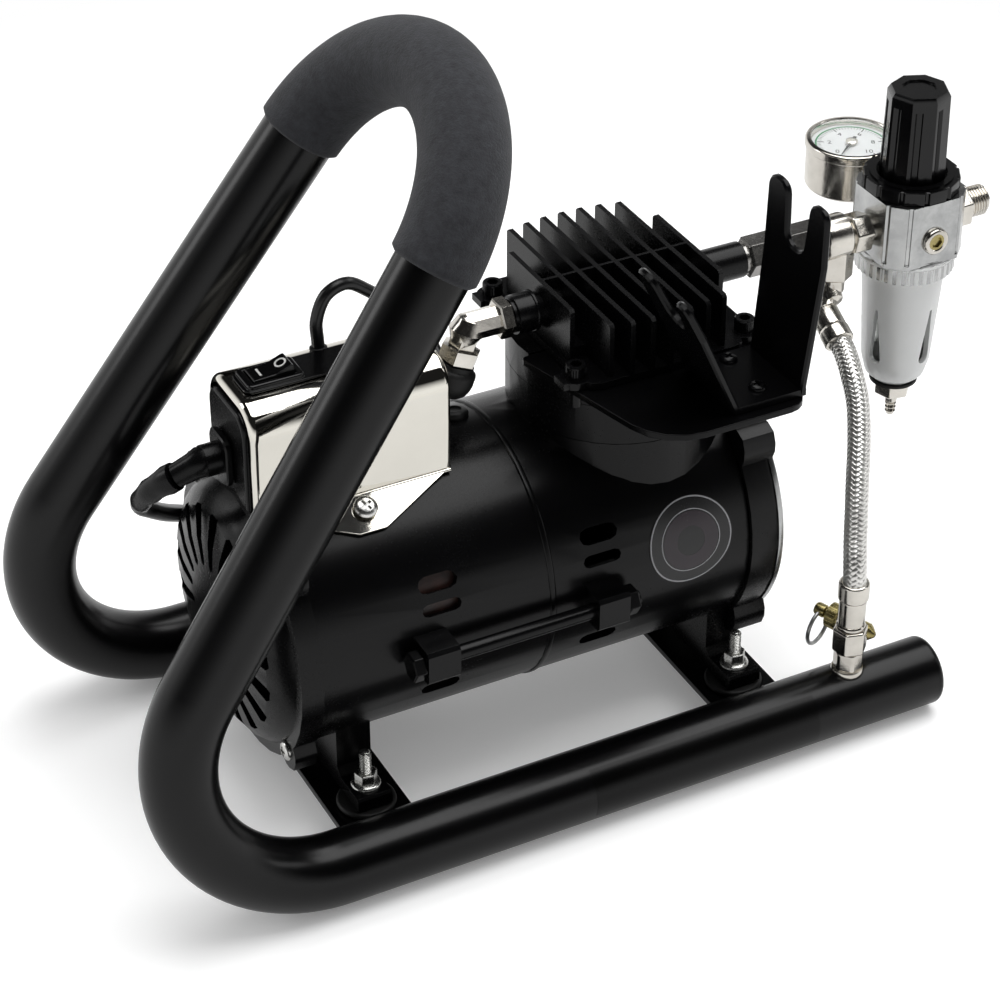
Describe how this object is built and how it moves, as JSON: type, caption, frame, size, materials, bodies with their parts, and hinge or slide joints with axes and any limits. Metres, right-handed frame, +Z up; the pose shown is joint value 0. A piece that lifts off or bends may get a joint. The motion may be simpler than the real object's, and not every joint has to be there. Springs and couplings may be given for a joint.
{
  "type": "air compressor",
  "caption": "Small oil-free piston air compressor: electric motor and finned cylinder head on rubber feet inside a bent-tube air tank frame with a foam grip, regulator and gauge.",
  "frame": {"origin": "on the floor, below the middle of the machine's length and midway between its two floor tubes", "axes": "+X along the motor shaft from the fan end, where the frame's legs rise, to the air outlet, +Y from the near floor tube with the hose to the far one, +Z up"},
  "size_m": [0.42, 0.2854, 0.3187],
  "materials": {
    "black_paint": "gloss black powder coat on steel",
    "black_casting": "semi-gloss black paint on die-cast aluminium",
    "foam": "closed-cell foam with a fine open skin",
    "rubber": "matte black rubber",
    "black_plastic": "moulded black plastic",
    "zinc": "bright zinc plate on steel",
    "chrome": "bright chrome plate",
    "nickel": "nickel plate on brass",
    "dark_nickel": "dark nickel plate",
    "die_cast": "bare die casting",
    "brass": "bare brass",
    "braid": "stainless wire braid over a rubber hose",
    "steel": "machined steel"
  },
  "bodies": {
    "compressor": {"tank_tube": "black_paint", "end_cap_near": "black_paint", "end_cap_far": "black_paint", "foam_grip": "foam", "cross_plate_left": "black_paint", "rubber_mount_left_front": "rubber", "mount_bolt_left_front": "zinc", "rubber_mount_left_back": "rubber", "mount_bolt_left_back": "zinc", "cross_plate_right": "black_paint", "rubber_mount_right_front": "rubber", "mount_bolt_right_front": "zinc", "rubber_mount_right_back": "rubber", "mount_bolt_right_back": "zinc", "motor_shell_left": "black_casting", "motor_shell_right": "black_casting", "fan_bell": "black_casting", "end_cover": "black_casting", "tie_rod_front": "black_casting", "tie_rod_back": "black_casting", "stator": "steel", "bearing_left": "steel", "bearing_right": "steel", "connecting_rod": "die_cast", "cylinder_sleeve": "steel", "bracket_plate": "black_paint", "cylinder_head": "black_casting", "head_bolt_left_front": "black_casting", "head_bolt_left_back": "black_casting", "head_bolt_right_front": "black_casting", "head_bolt_right_back": "black_casting", "hanger_fork": "black_paint", "switch_box_cover": "chrome", "box_end_piece": "black_plastic", "switch_panel": "black_plastic", "cord_gland": "black_plastic", "discharge_elbow": "nickel", "pressure_switch": "rubber", "switch_lead": "rubber", "manifold_bar": "dark_nickel", "tee": "nickel", "regulator_body": "die_cast", "lock_ring": "black_plastic", "bowl_guard": "die_cast", "gauge_case": "nickel", "outlet_nipple": "nickel", "hose_elbow": "nickel", "air_hose": "braid", "hose_bung": "nickel", "safety_valve": "brass", "power_cord": "rubber", "cord_coil": "rubber", "power_plug": "rubber"},
    "rotor": {"rotor_shaft": "steel", "cooling_fan": "black_plastic"},
    "rocker": {"rocker": "black_plastic"},
    "knob": {"regulator_knob": "black_plastic"},
    "needle": {"gauge_needle": "black_plastic"},
    "relief": {"valve_pull": "brass"},
    "drain": {"drain_valve": "nickel"}
  },
  "joints": [
    {"name": "motor_spin", "type": "hinge", "parent": "compressor", "child": "rotor", "pos_m": [0, 0, 0.0866], "axis": [1, 0, 0], "continuous": true},
    {"name": "rocker_throw", "type": "hinge", "parent": "compressor", "child": "rocker", "pos_m": [-0.11908, 0, 0.192], "axis": [0, 1, 0], "range_deg": [0, 12]},
    {"name": "regulator_turn", "type": "hinge", "parent": "compressor", "child": "knob", "pos_m": [0.17192, 0, 0.225], "axis": [0, 0, -1], "range_deg": [0, 1440]},
    {"name": "needle_sweep", "type": "hinge", "parent": "compressor", "child": "needle", "pos_m": [0.17242, 0.0455, 0.201], "axis": [0, 0, -1], "range_deg": [0, 270], "stiffness_Nm_per_rad": 0.0001},
    {"name": "relief_pull", "type": "slide", "parent": "compressor", "child": "relief", "axis": [-0.4204, 0.9059, 0.0501], "range_m": [0, 0.002], "stiffness_N_per_m": 800},
    {"name": "drain_turn", "type": "hinge", "parent": "compressor", "child": "drain", "pos_m": [0.17192, 0, 0.1], "axis": [0, 0, 1], "range_deg": [0, 180]}
  ]
}
